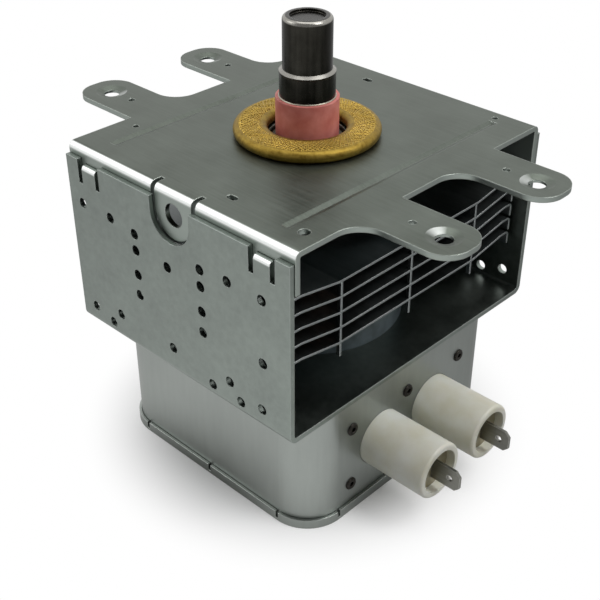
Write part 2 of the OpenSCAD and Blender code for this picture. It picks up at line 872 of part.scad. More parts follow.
module antenna_cup() {
    color("SlateGray")
        rotate_extrude()
            difference() {
                union() {
                    translate([0, ceramic_z])
                        square([cup_d / 2, lip_z - ceramic_z]);
                    translate([0, lip_z - tiny])
                        square([neck_r, neck_z - lip_z + tiny]);
                }
                translate([0, ceramic_z - cut])
                    square([cup_d / 2 - cap_t, lip_z - ceramic_z + cut - cap_t]);
                translate([0, ceramic_z])
                    square([neck_r - cap_t, neck_z - ceramic_z - cap_t]);
                translate([0, ceramic_z])
                    square([exhaust_d / 2, antenna_h]);
            }
}

// Copper tube pinched flat where it was closed after pumping
module exhaust_tube() {
    r = exhaust_d / 2;
    low = lip_z - exhaust_low;
    color("Chocolate")
        difference() {
            intersection() {
                translate([0, 0, low])
                    cylinder(r = r, h = pinch_top - low);
                along_x(exhaust_d + cut)
                    polygon([[-r, low], [r, low], [r, pinch_z], [pinch_flat / 2, pinch_top],
                        [-pinch_flat / 2, pinch_top], [-r, pinch_z]]);
            }
            translate([0, 0, low - cut])
                cylinder(r = exhaust_in, h = pinch_z - low + cut);
        }
}

module antenna_rod() {
    color("Chocolate")
        bent_bar([[rod_foot_r, 0, vane_top], rod_knee, rod_turn, [0, 0, pinch_z]], rod_d / 2);
}

module output_ceramic() {
    color("LightPink")
        translate([0, 0, -ceramic_foot])
            difference() {
                cylinder(d = ceramic_d, h = ceramic_z + ceramic_foot);
                translate([0, 0, -cut])
                    cylinder(r = ceramic_in, h = ceramic_z + ceramic_foot + 2 * cut);
            }
}

// Thin sleeve from level 0 up to level h, foot flange at 0, inward rim at h
module seal_sleeve(h) {
    foot_r = magnet_bore / 2 - slip;
    rotate_extrude() {
        translate([sleeve_r - sleeve_t, 0])
            square([sleeve_t, h]);
        translate([sleeve_r - sleeve_t, 0])
            square([foot_r - sleeve_r + sleeve_t, sleeve_t]);
        translate([ceramic_in + seal_step, h - sleeve_t])
            square([sleeve_r - ceramic_in - seal_step, sleeve_t]);
    }
}

module output_sleeve() {
    color("SlateGray")
        translate([0, 0, tube_top])
            seal_sleeve(-ceramic_foot - tube_top);
}

// Magnets and pole pieces

module ring_magnet() {
    difference() {
        cylinder(d = magnet_d, h = magnet_t);
        translate([0, 0, -cut])
            cylinder(d = magnet_bore, h = magnet_t + 2 * cut);
    }
}

module upper_magnet() {
    color("DarkSlateGray")
        translate([0, 0, tube_top])
            ring_magnet();
}

module lower_magnet() {
    color("DarkSlateGray")
        translate([0, 0, floor_top])
            ring_magnet();
}

// Dished steel disc, flange face at z = 0, dish pointing down
module pole_piece() {
    slope = (dish_top_r - dish_low_r) / (pole_dish - pole_t);
    wide = dish_top_r + pole_t * slope / 2;
    rotate_extrude()
        polygon([[dish_top_r, 0], [anode_r, 0], [anode_r, -pole_t], [wide + pole_lip, -pole_t],
            [dish_low_r + pole_lip, -pole_dish], [pole_bore / 2, -pole_dish],
            [pole_bore / 2, pole_t - pole_dish], [dish_low_r, pole_t - pole_dish]]);
}

module upper_pole() {
    color("Gray")
        difference() {
            translate([0, 0, tube_top])
                pole_piece();
            bar(rod_knee, rod_turn, rod_d / 2 + pass);
        }
}

module lower_pole() {
    color("Gray")
        translate([0, 0, tube_bot])
            mirror([0, 0, 1])
                pole_piece();
}

// Anode

module anode_cylinder() {
    color("Chocolate")
        translate([0, 0, tube_bot + pole_t])
            difference() {
                cylinder(r = anode_r, h = anode_h);
                translate([0, 0, -cut])
                    cylinder(r = anode_in, h = anode_h + 2 * cut);
            }
}

// Ring-shaped groove in both edges of a vane for a strap of mean radius r
module strap_groove(r, room) {
    w = strap_t / 2 + room;
    h = strap_h + room;
    for (s = [0, 1])
        mirror([0, 0, s])
            translate([0, 0, vane_h / 2 - h])
                difference() {
                    cylinder(r = r + w, h = h + cut);
                    translate([0, 0, -cut])
                        cylinder(r = r - w, h = h + 3 * cut);
                }
}

// Copper plates brazed inside the cylinder; every second one carries the same strap
module anode_vanes() {
    color("Chocolate")
        translate([0, 0, tube_mid])
            for (k = [0 : vane_n - 1])
                rotate(k * 360 / vane_n)
                    difference() {
                        intersection() {
                            translate([vane_bore / 2, -vane_t / 2, -vane_h / 2])
                                cube([anode_in, vane_t, vane_h]);
                            cylinder(r = anode_in, h = vane_h + 2 * cut, center = true);
                        }
                        strap_groove(strap_r_1, k % 2 == 0 ? 0 : strap_room);
                        strap_groove(strap_r_2, k % 2 == 0 ? strap_room : 0);
                    }
}

module strap_rings() {
    color("Peru")
        for (r = [strap_r_1, strap_r_2], s = [0, 1])
            translate([0, 0, tube_mid])
                mirror([0, 0, s])
                    translate([0, 0, vane_h / 2 - strap_h])
                        difference() {
                            cylinder(r = r + strap_t / 2, h = strap_h);
                            translate([0, 0, -cut])
                                cylinder(r = r - strap_t / 2, h = strap_h + 2 * cut);
                        }
}

// Cathode and stem

module filament() {
    color("DarkGray")
        translate([0, 0, filament_z])
            coil(filament_turns, filament_pitch, filament_r, filament_wire / 2);
}

module upper_hat() {
    color("Gray")
        translate([0, 0, hat_high_bot])
            cylinder(d = hat_d, h = hat_t);
}

module lower_hat() {
    color("Gray")
        translate([0, 0, hat_low_top - hat_t])
            difference() {
                cylinder(d = hat_d, h = hat_t);
                translate([0, 0, -cut])
                    cylinder(r = lead_r + pass / 2, h = hat_t + 2 * cut);
            }
}

module centre_lead() {
    color("DarkGray")
        bent_bar([[0, lead_y, stem_bot], [0, lead_y, jog_low], [0, 0, jog_high],
            [0, 0, hat_high_bot]], lead_r);
}

module side_lead() {
    color("DarkGray")
        bar([0, -lead_y, stem_bot], [0, -lead_y, hat_low_top - hat_t], lead_r);
}

module stem_sleeve() {
    color("SlateGray")
        translate([0, 0, tube_bot])
            mirror([0, 0, 1])
                seal_sleeve(tube_bot - stem_top);
}

module stem_ceramic() {
    color("LightPink")
        difference() {
            translate([0, 0, stem_bot])
                cylinder(d = stem_d, h = stem_h);
            for (s = [-1, 1])
                translate([0, s * lead_y, stem_bot - cut])
                    cylinder(r = lead_r + slip, h = stem_h + 2 * cut);
        }
}

// Flat plates under the stem that carry each lead out to its choke
module stem_tabs() {
    left = -lead_d;
    color("Silver")
        for (s = [0, 1])
            mirror([0, s, 0])
                translate([left, lead_y - lead_d, tab_bot])
                    cube([choke_end + tab_half - left, tab_y + tab_half - lead_y + lead_d, tab_t]);
}

// Cooling fins

// Half cross-section of a fin: flat round the anode, rising wing, end bent down
module fin_profile() {
    t = fin_t;
    r = wing_rise;
    bend_y = fin_y - fin_bend_r;
    bend_z = r + t - fin_bend_r;
    polygon([[0, 0], [wing_y_1, 0], [wing_y_2, r], [bend_y, r], [bend_y, r + t], [wing_y_2, r + t],
        [wing_y_1, t], [0, t]]);
    translate([bend_y, bend_z])
        bend(fin_bend_r, fin_bend_r - t);
    translate([fin_y - t, r - fin_fold])
        square([t, bend_z - r + fin_fold]);
}

module cooling_fin() {
    t = fin_t;
    color("LightGray") {
        difference() {
            along_x(fin_l)
                for (s = [0, 1])
                    mirror([s, 0])
                        fin_profile();
            translate([0, 0, -cut])
                cylinder(r = anode_r, h = t + 2 * cut);
        }
        difference() {
            cylinder(r = anode_r + t, h = t + collar_h);
            translate([0, 0, -cut])
                cylinder(r = anode_r, h = t + collar_h + 2 * cut);
        }
        for (sx = [-1, 1], k = [-1, 0, 1])
            translate([sx * (fin_l - spacer_w) / 2, k * spacer_y, t - fin_pitch / 2])
                cube([spacer_w, t, fin_pitch], center = true);
    }
}

module cooling_fin_1() {
    translate([0, 0, fin_low])
        cooling_fin();
}

module cooling_fin_2() {
    translate([0, 0, fin_low + fin_pitch])
        cooling_fin();
}

module cooling_fin_3() {
    translate([0, 0, fin_low + 2 * fin_pitch])
        cooling_fin();
}

module cooling_fin_4() {
    translate([0, 0, fin_low + 3 * fin_pitch])
        cooling_fin();
}

module cooling_fin_5() {
    translate([0, 0, fin_low + 4 * fin_pitch])
        cooling_fin();
}

// Filter box

module filter_can() {
    h = can_top - can_bot;
    color("Silver")
        difference() {
            translate([0, 0, can_top])
                drawn_block(can_l, can_w, h, can_r, can_top_r);
            translate([0, 0, can_top - can_t])
                drawn_block(can_l - 2 * can_t, can_w - 2 * can_t, h, can_r - can_t, can_top_r - can_t);
            translate([0, 0, can_top - can_t - cut])
                cylinder(r = sleeve_r + 2 * pass, h = can_t + 2 * cut);
            for (s = [-1, 1])
                x_bar(wall_in - cut, wall_out + cut, s * term_y, term_z, insulator_d / 2 + slip);
            rivet_places()
                rotate([0, 90, 0])
                    cylinder(d = rivet_d, h = 2 * (grip + cut), center = true);
        }
}

// Pan with a rim folded up outside the can, slit where the rim changes direction
module filter_lid() {
    l = can_l + 2 * lid_grow;
    w = can_w + 2 * lid_grow;
    r = can_r + lid_grow;
    color("Silver")
        difference() {
            translate([0, 0, box_bot])
                linear_extrude(rim_h)
                    round_rect(l, w, r);
            translate([0, 0, can_bot])
                linear_extrude(rim_h)
                    round_rect(l - 2 * can_t, w - 2 * can_t, r - can_t);
            for (k = [-1, 0, 1]) {
                translate([k * (l / 2 - r), 0, can_bot + rim_h / 2])
                    cube([rim_slit, w + cut, rim_h], center = true);
                translate([0, k * (w / 2 - r), can_bot + rim_h / 2])
                    cube([l + cut, rim_slit, rim_h], center = true);
            }
        }
}

// Filter parts

// Puts its child at every rivet of the capacitor flange, on the outer face of the can
module rivet_places() {
    for (s = [-1, 1], t = [-1, 1])
        translate([wall_out, s * rivet_y, term_z + t * rivet_z])
            children();
    translate([wall_out, 0, term_z + rivet_z])
        children();
}

// Winding at +Y with a tinned end, a little thicker than the wire, rising to the stem tab
module choke_coil() {
    wire_r = choke_wire / 2;
    translate([choke_end, choke_y, term_z])
        rotate([0, 90, 0])
            rotate(-90)
                coil(choke_turns, choke_pitch, choke_r, wire_r);
    bar([choke_end, tab_y, term_z], [choke_end, tab_y, tab_bot], wire_r + knuckle);
}

module choke_coil_1() {
    color("Peru")
        mirror([0, 1, 0])
            choke_coil();
}

module choke_coil_2() {
    color("Peru")
        choke_coil();
}

module choke_core(y) {
    color("DarkSlateGray")
        x_bar(choke_end - core_out, choke_x + choke_wire / 4, y, term_z, core_r);
}

module choke_core_1() {
    choke_core(-choke_y);
}

module choke_core_2() {
    choke_core(choke_y);
}

module capacitor_flange() {
    color("Silver")
        difference() {
            translate([case_front, -flange_y, term_z - flange_z])
                cube([flange_t, 2 * flange_y, 2 * flange_z]);
            for (s = [-1, 1])
                x_bar(case_front - cut, wall_in + cut, s * term_y, term_z, feed_d / 2 + feed_room);
            rivet_places()
                rotate([0, 90, 0])
                    cylinder(d = rivet_d, h = 2 * (grip + cut), center = true);
        }
}

// Tubular rivets: turned head outside, hollow shank, rolled head inside
module capacitor_rivets() {
    color("Gray")
        rivet_places()
            rotate([0, 90, 0])
                rotate_extrude()
                    polygon([[rivet_bore, -grip - roll_h], [roll_r, -grip - roll_h], [roll_r, -grip],
                        [rivet_d / 2, -grip], [rivet_d / 2, 0], [rivet_head / 2, 0],
                        [rivet_head / 2, rivet_head_h - rivet_bevel],
                        [rivet_head / 2 - rivet_bevel, rivet_head_h], [rivet_bore, rivet_head_h]]);
}

// Stadium-shaped block along X behind the flange
module capacitor_block(x0, x1, r) {
    translate([x0, 0, term_z])
        rotate([90, 0, 90])
            linear_extrude(x1 - x0)
                stadium(term_y, r);
}

module capacitor_case() {
    r = capacitor_d / 2;
    color("DarkOliveGreen")
        difference() {
            capacitor_block(case_back, case_front, r);
            capacitor_block(case_back + case_wall, case_front + cut, r - case_wall);
            for (s = [-1, 1])
                x_bar(case_back - cut, case_front, s * term_y, term_z, feed_d / 2);
        }
}

module capacitor_ceramic() {
    r = capacitor_d / 2 - case_wall - slip;
    color("Tan")
        difference() {
            capacitor_block(case_back + case_wall + case_room, case_front, r);
            for (s = [-1, 1])
                x_bar(case_back, case_front + cut, s * term_y, term_z, feed_d / 2 + slip);
        }
}

// White cup through the can wall, open end outward
module insulator(y) {
    l = insulator_end - wall_in;
    color("Ivory")
        translate([wall_in, y, term_z])
            rotate([0, 90, 0])
                rotate_extrude()
                    difference() {
                        drawn_half(insulator_d / 2, l, insulator_edge);
                        translate([0, insulator_base])
                            square([insulator_bore, l]);
                        translate([0, -cut])
                            square([feed_d / 2, l]);
                    }
}

module insulator_1() {
    insulator(-term_y);
}

module insulator_2() {
    insulator(term_y);
}

// Resin filling an insulator round the rod and the blade
module potting(y) {
    color("Wheat")
        difference() {
            x_bar(insulator_floor, potting_end, y, term_z, insulator_bore);
            x_bar(insulator_floor - cut, blade_in, y, term_z, feed_d / 2);
            blade_shape(y);
        }
}

module potting_1() {
    potting(-term_y);
}

module potting_2() {
    potting(term_y);
}

module feed_rod(y) {
    color("Chocolate")
        x_bar(choke_x + choke_wire / 2, blade_in, y, term_z, feed_d / 2);
}

module feed_rod_1() {
    feed_rod(-term_y);
}

module feed_rod_2() {
    feed_rod(term_y);
}

// Push-on blade standing upright, tip corners cut back
module blade_shape(y) {
    half = blade_w / 2;
    translate([0, y + blade_t / 2, term_z])
        rotate([90, 0, 0])
            linear_extrude(blade_t)
                polygon([[blade_in, -half], [blade_end - blade_tip, -half], [blade_end, blade_tip - half],
                    [blade_end, half - blade_tip], [blade_end - blade_tip, half], [blade_in, half]]);
}

module terminal_blade(y) {
    color("Silver")
        difference() {
            blade_shape(y);
            y_hole(insulator_end + blade_out / 2, term_z, blade_hole_d, y - blade_t, y + blade_t);
        }
}

module terminal_blade_1() {
    terminal_blade(-term_y);
}

module terminal_blade_2() {
    terminal_blade(term_y);
}

top_plate();
yoke();
rf_gasket();
antenna_cap();
antenna_cup();
exhaust_tube();
antenna_rod();
output_ceramic();
output_sleeve();
upper_magnet();
lower_magnet();
upper_pole();
lower_pole();
anode_cylinder();
anode_vanes();
strap_rings();
filament();
upper_hat();
lower_hat();
centre_lead();
side_lead();
stem_sleeve();
stem_ceramic();
stem_tabs();
cooling_fin_1();
cooling_fin_2();
cooling_fin_3();
cooling_fin_4();
cooling_fin_5();
filter_can();
filter_lid();
choke_coil_1();
choke_coil_2();
choke_core_1();
choke_core_2();
capacitor_flange();
capacitor_rivets();
capacitor_ceramic();
capacitor_case();
insulator_1();
insulator_2();
potting_1();
potting_2();
feed_rod_1();
feed_rod_2();
terminal_blade_1();
terminal_blade_2();
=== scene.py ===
# %% [markdown]
# # Dressing a microwave-oven magnetron
#
# The solids come from the construction model: a vacuum tube between two ring magnets, held in a folded
# steel yoke, with an antenna on top and a filter box underneath. This lesson gives every solid the finish
# of the real material, adds the few soft-edged pieces that a solid model leaves out, and sets up a plain
# studio. We start by loading the solids and keeping the box that they fill.

# %% Load the solids
import math

import bpy
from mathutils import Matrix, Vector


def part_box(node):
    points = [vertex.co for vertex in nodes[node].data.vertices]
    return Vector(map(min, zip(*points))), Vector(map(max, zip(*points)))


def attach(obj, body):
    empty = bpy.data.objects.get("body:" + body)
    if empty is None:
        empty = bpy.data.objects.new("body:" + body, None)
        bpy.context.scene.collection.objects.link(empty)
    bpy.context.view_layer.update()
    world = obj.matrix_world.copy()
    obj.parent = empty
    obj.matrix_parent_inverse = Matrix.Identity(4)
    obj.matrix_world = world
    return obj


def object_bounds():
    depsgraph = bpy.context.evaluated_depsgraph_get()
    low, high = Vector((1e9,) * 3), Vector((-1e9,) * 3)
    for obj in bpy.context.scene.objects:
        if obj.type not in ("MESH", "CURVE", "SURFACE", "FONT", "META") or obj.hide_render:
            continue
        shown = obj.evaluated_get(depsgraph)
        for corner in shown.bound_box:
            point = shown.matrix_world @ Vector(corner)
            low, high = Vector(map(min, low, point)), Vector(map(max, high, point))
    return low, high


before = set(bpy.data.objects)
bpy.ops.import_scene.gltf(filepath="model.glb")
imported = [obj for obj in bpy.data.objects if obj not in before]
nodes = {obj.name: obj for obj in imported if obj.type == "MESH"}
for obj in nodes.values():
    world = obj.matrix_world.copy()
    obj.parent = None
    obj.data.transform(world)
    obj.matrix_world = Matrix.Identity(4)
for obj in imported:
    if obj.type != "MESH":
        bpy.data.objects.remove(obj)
cad_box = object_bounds()
MM = 0.001
print("nodes:", len(nodes), "box in mm:", [round((hi - lo) / MM, 1) for lo, hi in zip(*cad_box)])

# %% [markdown]
# ## Tools for painting
#
# Colours are easiest to pick as the hex codes that a picture editor shows, but a shader works with linear
# light, so one function converts them. A second function adds a shader node, sets its properties and
# fills its sockets: a socket that is given another socket is linked to it. A third puts a finished
# material on solids by name.

# %% Small helpers
def linear(code):
    """The linear colour for an sRGB hex code."""
    parts = [int(code[k:k + 2], 16) / 255 for k in (1, 3, 5)]
    return [p / 12.92 if p <= 0.04045 else ((p + 0.055) / 1.055) ** 2.4 for p in parts] + [1.0]


def add(tree, kind, settings=None, sockets=None):
    """Adds one shader node; a socket is linked where its value is another socket."""
    node = tree.nodes.new("ShaderNode" + kind)
    for name, value in (settings or {}).items():
        setattr(node, name, value)
    for name, value in (sockets or {}).items():
        if isinstance(value, bpy.types.NodeSocket):
            tree.links.new(value, node.inputs[name])
        else:
            node.inputs[name].default_value = value
    return node


def start(name):
    """A new material with an empty node tree."""
    material = bpy.data.materials.new(name)
    material.use_nodes = True
    material.node_tree.nodes.clear()
    return material, material.node_tree


def paint(material, *names):
    """Puts a material on CAD nodes."""
    for name in names:
        nodes[name].data.materials.clear()
        nodes[name].data.materials.append(material)
    print(material.name, "on", len(names), "nodes")


print("mid grey #808080 is", round(linear("#808080")[0], 3), "in linear light")

# %% [markdown]
# ## How metal shows its making
#
# Bare metal is mostly reflection, so what tells one metal from another is how its surface was made: lines
# along the rolling or drawing direction, soft smudges from handling, and places that were sheared or rubbed
# bright. One function builds that from a few real sizes: the length and width of a rolling line, the size of
# a smudge, and the width of a bright edge. The Bevel node rounds the shading at sharp edges, and where the
# rounded normal leaves the flat one we know that we are on an edge; the paler tone there is partly sheared
# and rubbed metal and partly a painted highlight for the light that edges catch. Faces that lean upward,
# neither level nor upright, can take a painted highlight: a near-white tone that stands in for the lamp
# light that a fold reflects. Only outer bends take it: there the face looks away from the axis, and the
# distance that it faces tells. Upright walls can take a paler tone of their own: painted light for the
# brighter surroundings that upright faces mirror.

# %% Metal with grain, smudges, edges of wear and painted highlight, painted bend highlights and wall light
FINE_MM = (0.35, 0.35, 0.35)


def metal(name, pale, deep, edge, rough, grain_mm=FINE_MM, smudge_mm=14, edge_mm=0.35, bump_mm=0.01,
          bend_highlight=None, bend_highlight_mm=None, upright_painted_light=None):
    """A bare metal: two tones, a worn and painted-highlight edge, a range of roughness and the size of its
    marks.
    """
    material, tree = start(name)
    place = add(tree, "TexCoord").outputs["Object"]
    lines = add(tree, "Mapping", sockets={"Vector": place, "Scale": [1 / (g * MM) for g in grain_mm]})
    grain = add(tree, "TexNoise", sockets={"Vector": lines.outputs[0], "Scale": 1, "Detail": 4})
    smudge = add(tree, "TexNoise", sockets={"Vector": place, "Scale": 1 / (smudge_mm * MM), "Detail": 5,
                                            "Roughness": 0.6})
    tone = add(tree, "Mix", sockets={0: 0.6, 2: grain.outputs[0], 3: smudge.outputs[0]}).outputs[0]
    spread = add(tree, "MapRange", sockets={"Value": tone, "From Min": 0.3, "From Max": 0.7}).outputs[0]
    colour = add(tree, "Mix", {"data_type": "RGBA"}, {0: spread, 6: linear(deep), 7: linear(pale)}).outputs[2]
    rounded = add(tree, "Bevel", {"samples": 4}, {"Radius": edge_mm * MM}).outputs[0]
    flat = add(tree, "NewGeometry").outputs["Normal"]
    level = add(tree, "SeparateXYZ", sockets={0: flat}).outputs["Z"]
    # painted light: upright faces take a paler tone for the brighter surroundings that they mirror
    if upright_painted_light:
        steep = add(tree, "Math", {"operation": "ABSOLUTE"}, {0: level}).outputs[0]
        stands = add(tree, "MapRange", sockets={"Value": steep, "From Min": 0.3, "From Max": 0.1}).outputs[0]
        colour = add(tree, "Mix", {"data_type": "RGBA"}, {0: stands, 6: colour, 7: linear(upright_painted_light)}).outputs[2]
    # painted highlight: outer faces that lean upward take a near-white tone for the light that a fold
    # reflects
    if bend_highlight:
        leans = add(tree, "MapRange", sockets={"Value": level, "From Min": 0.06, "From Max": 0.25}).outputs[0]
        tilts = add(tree, "MapRange", sockets={"Value": level, "From Min": 0.99, "From Max": 0.92}).outputs[0]
        painted_bend_highlight = add(tree, "Math", {"operation": "MULTIPLY"}, {0: leans, 1: tilts}).outputs[0]
        out = add(tree, "VectorMath", {"operation": "DOT_PRODUCT"}, {0: flat, 1: place}).outputs["Value"]
        outer = add(tree, "MapRange", sockets={"Value": out, "From Min": bend_highlight_mm[0] * MM,
                                               "From Max": bend_highlight_mm[1] * MM}).outputs[0]
        painted_bend_highlight = add(tree, "Math", {"operation": "MULTIPLY"}, {0: painted_bend_highlight, 1: outer}).outputs[0]
        colour = add(tree, "Mix", {"data_type": "RGBA"}, {0: painted_bend_highlight, 6: colour, 7: linear(bend_highlight)}).outputs[2]
    # edge tone: partly sheared and rubbed metal, partly a painted highlight where edges catch the light
    turn = add(tree, "VectorMath", {"operation": "DOT_PRODUCT"}, {0: rounded, 1: flat}).outputs["Value"]
    worn_and_highlit_edge = add(tree, "MapRange", sockets={"Value": turn, "From Min": 0.985, "From Max": 0.8}).outputs[0]
    colour = add(tree, "Mix", {"data_type": "RGBA"}, {0: worn_and_highlit_edge, 6: colour, 7: linear(edge)}).outputs[2]
    shine = add(tree, "MapRange", sockets={"Value": tone, "From Min": 0.3, "From Max": 0.7,
                                           "To Min": rough[0], "To Max": rough[1]})
    relief = add(tree, "Bump", sockets={"Height": tone, "Strength": 0.5, "Distance": bump_mm * MM,
                                        "Normal": rounded})
    shader = add(tree, "BsdfPrincipled", sockets={"Base Color": colour, "Metallic": 1.0,
                                                  "Roughness": shine.outputs[0],
                                                  "Normal": relief.outputs[0]})
    add(tree, "OutputMaterial", sockets={0: shader.outputs[0]})
    return material


# %% [markdown]
# ## Sheet steel
#
# The plate and the yoke are folded from zinc-coated sheet. The plate's colour is set darker than the yoke's:
# painted shade for the darker ceiling that its top mirrors. It mirrors the antenna softly, has faint lines
# along the rolling direction, and its folds carry a near-white painted highlight, its upright walls a paler
# painted tone. The yoke's panels are a little paler, without lines, with the same painted highlight on their
# outer bends. The filter can is deep-drawn from the same kind of sheet, so its lines run up the walls, and
# drawing has evened them out.

# %% Plate, yoke, can and lid
# painted shade: the plate is set darker than the yoke for the ceiling it mirrors; painted highlight on folds
shaded_plate_zinc = metal("smooth_zinc_plate_sheet", "#6a7069", "#51574f", "#a3a9a3", (0.34, 0.48),
                   grain_mm=(16, 0.6, 0.6), smudge_mm=18, edge_mm=0.4, bend_highlight="#eef1ef", bend_highlight_mm=(12, 20),
                   upright_painted_light="#949c96")
# painted highlight on the yoke's outer bends
yoke_zinc = metal("dull_zinc_yoke_sheet", "#8a928c", "#787f7a", "#989e9a", (0.3, 0.42),
                  grain_mm=(1.5, 1.5, 1.5), smudge_mm=12, bend_highlight="#eef1ef", bend_highlight_mm=(18, 26))
can_zinc = metal("drawn_zinc_can", "#9da29e", "#929793", "#b8bcb8", (0.34, 0.42),
                 grain_mm=(1.5, 1.5, 12), smudge_mm=24, edge_mm=0.3, bump_mm=0.004)
paint(shaded_plate_zinc, "top_plate")
paint(yoke_zinc, "yoke")
paint(can_zinc, "filter_can", "filter_lid", "capacitor_flange")

# %% [markdown]
# ## The antenna and its seal
#
# The cap is drawn from thin steel and darkens when the tube is brazed in the furnace, so it looks almost
# black with grey streaks along the drawing direction. Its flared lip and its top edge take a paler tone: a
# painted highlight where they catch the light. The cup under it is the same metal. The sleeves and pole
# pieces are nickel-plated, which stays paler.

# %% Cap, cup, sleeves and pole pieces
# painted highlight: the lip and the top edge take the paler bend tone
cap_steel = metal("furnace_darkened_cap_steel", "#3c3b36", "#1a1916", "#54524d", (0.2, 0.32),
                  grain_mm=(1.2, 1.2, 30), smudge_mm=6, edge_mm=0.25, bend_highlight="#94928c", bend_highlight_mm=(2, 5))
nickel = metal("nickel_plated_seal_steel", "#a19f98", "#85837c", "#c6c4bd", (0.25, 0.4))
paint(cap_steel, "antenna_cap", "antenna_cup")
paint(nickel, "output_sleeve", "stem_sleeve", "upper_pole", "lower_pole")

# %% [markdown]
# ## Copper, aluminium and the small hardware
#
# The fins are stamped from rolled aluminium, dull on the flat; their edges are brighter, partly where the
# shear cut them and partly as a painted highlight. The tube body, the chokes and the rods are bare copper.
# The blades are tin-plated brass, the rivets dark phosphated steel, and the cathode is tungsten and
# molybdenum, dark grey once they have been hot.

# %% Fins, copper pieces, blades, rivets and cathode
fin_metal = metal("stamped_aluminium", "#8f9494", "#6f7575", "#c2c6c5", (0.3, 0.45),
                  grain_mm=(12, 0.4, 0.4), edge_mm=0.2)
copper = metal("bare_copper", "#b97c5c", "#8f5a40", "#d8a184", (0.25, 0.42))
tin = metal("tin_plated_brass", "#84847e", "#696963", "#a9a9a3", (0.25, 0.4), grain_mm=(8, 0.4, 0.4))
rivet_steel = metal("phosphated_rivet_steel", "#3b3935", "#262422", "#57544e", (0.4, 0.6))
tungsten = metal("heated_tungsten", "#6e6e70", "#4f4f52", "#8d8d90", (0.35, 0.5))
paint(fin_metal, *[f"cooling_fin_{k}" for k in range(1, 6)])
paint(copper, "exhaust_tube", "antenna_rod", "anode_cylinder", "anode_vanes", "strap_rings",
      "choke_coil_1", "choke_coil_2", "feed_rod_1", "feed_rod_2")
paint(tin, "terminal_blade_1", "terminal_blade_2", "stem_tabs")
paint(rivet_steel, "capacitor_rivets")
paint(tungsten, "filament", "upper_hat", "lower_hat", "centre_lead", "side_lead")

# %% [markdown]
# ## Ceramic, ferrite and resin
#
# These are not metals, so their colour comes from inside. Alumina is fired and left matt, with a faint
# mottle; ferrite is pressed, fired and ground, with a slight gloss, and its dark grey is set paler here:
# painted light, so that the magnets show with a bluish sheen inside the shaded yoke. The terminal cups are
# moulded in a milky resin that lets some light through and yellows in patches. One function covers them
# all: two tones mixed by a soft mottle, a fine grain for the bump, and a share of light that wanders under
# the skin.

# %% Mottled solids
def mottled(name, pale, deep, rough, mottle_mm=4, grain_mm=0.3, bump_mm=0.012, under_skin=0.0,
            edge_mm=0.4):
    """A fired or moulded solid with a soft mottle and a fine grain."""
    material, tree = start(name)
    place = add(tree, "TexCoord").outputs["Object"]
    mottle = add(tree, "TexNoise", sockets={"Vector": place, "Scale": 1 / (mottle_mm * MM), "Detail": 4})
    grain = add(tree, "TexNoise", sockets={"Vector": place, "Scale": 1 / (grain_mm * MM), "Detail": 2})
    spread = add(tree, "MapRange", sockets={"Value": mottle.outputs[0], "From Min": 0.3, "From Max": 0.7})
    colour = add(tree, "Mix", {"data_type": "RGBA"},
                 {0: spread.outputs[0], 6: linear(deep), 7: linear(pale)})
    shine = add(tree, "MapRange", sockets={"Value": mottle.outputs[0], "To Min": rough[0],
                                           "To Max": rough[1]})
    rounded = add(tree, "Bevel", {"samples": 4}, {"Radius": edge_mm * MM})
    relief = add(tree, "Bump", sockets={"Height": grain.outputs[0], "Strength": 0.4,
                                        "Distance": bump_mm * MM, "Normal": rounded.outputs[0]})
    shader = add(tree, "BsdfPrincipled", sockets={"Base Color": colour.outputs[2],
                                                  "Roughness": shine.outputs[0],
                                                  "Subsurface Weight": under_skin,
                                                  "Subsurface Radius": (1.0, 0.8, 0.5),
                                                  "Subsurface Scale": 2 * MM,
                                                  "Normal": relief.outputs[0]})
    add(tree, "OutputMaterial", sockets={0: shader.outputs[0]})
    return material


pink_alumina = mottled("fired_pink_alumina", "#e8938a", "#d1716a", (0.4, 0.6))
# painted light: ferrite set paler than its own dark grey, so the magnets show a bluish sheen in the yoke
ferrite = mottled("ground_ferrite", "#727f86", "#566166", (0.3, 0.45))
milky_resin = mottled("moulded_milky_resin", "#f6f7f0", "#e5e2cf", (0.3, 0.45), mottle_mm=9, under_skin=0.08)
amber_resin = mottled("poured_amber_resin", "#a79f83", "#8f8768", (0.25, 0.4), under_skin=0.15)
dark_resin = mottled("moulded_dark_resin", "#3d4035", "#2d3027", (0.4, 0.6))
titanate = mottled("fired_capacitor_ceramic", "#b8a081", "#a08a6d", (0.5, 0.7))
paint(pink_alumina, "output_ceramic", "stem_ceramic")
paint(ferrite, "upper_magnet", "lower_magnet", "choke_core_1", "choke_core_2")
paint(milky_resin, "insulator_1", "insulator_2")
paint(amber_resin, "potting_1", "potting_2")
paint(dark_resin, "capacitor_case")
paint(titanate, "capacitor_ceramic")

# %% [markdown]
# ## The knitted gasket
#
# The ring round the foot of the antenna is knitted from fine brass wire and pressed flat. The solid ring
# is its bulk; what the eye sees is the crossing wires on top. One wire loop is modelled from a torus: its
# two halves are pulled apart until it follows the ring's oval section. It is then leaned over, and Spin
# copies it round the axis. A second set leans the other way, so that the wires cross.

# %% Brass for the wires and for the bulk behind them
brass_wire = metal("drawn_brass_wire", "#c0a04a", "#876b25", "#d6bf74", (0.35, 0.5), smudge_mm=1.2)
brass_bulk = metal("pressed_brass_knit", "#a68d43", "#6b541b", "#b39a53", (0.4, 0.6),
                   grain_mm=(0.8, 0.8, 0.8), smudge_mm=2, bump_mm=0.15)
paint(brass_bulk, "rf_gasket")


# %% One family of wire loops
def clear_selection():
    """Leaves nothing selected and no piece open in edit mode."""
    if bpy.context.object and bpy.context.object.mode != "OBJECT":
        bpy.ops.object.mode_set(mode="OBJECT")
    bpy.ops.object.select_all(action="DESELECT")


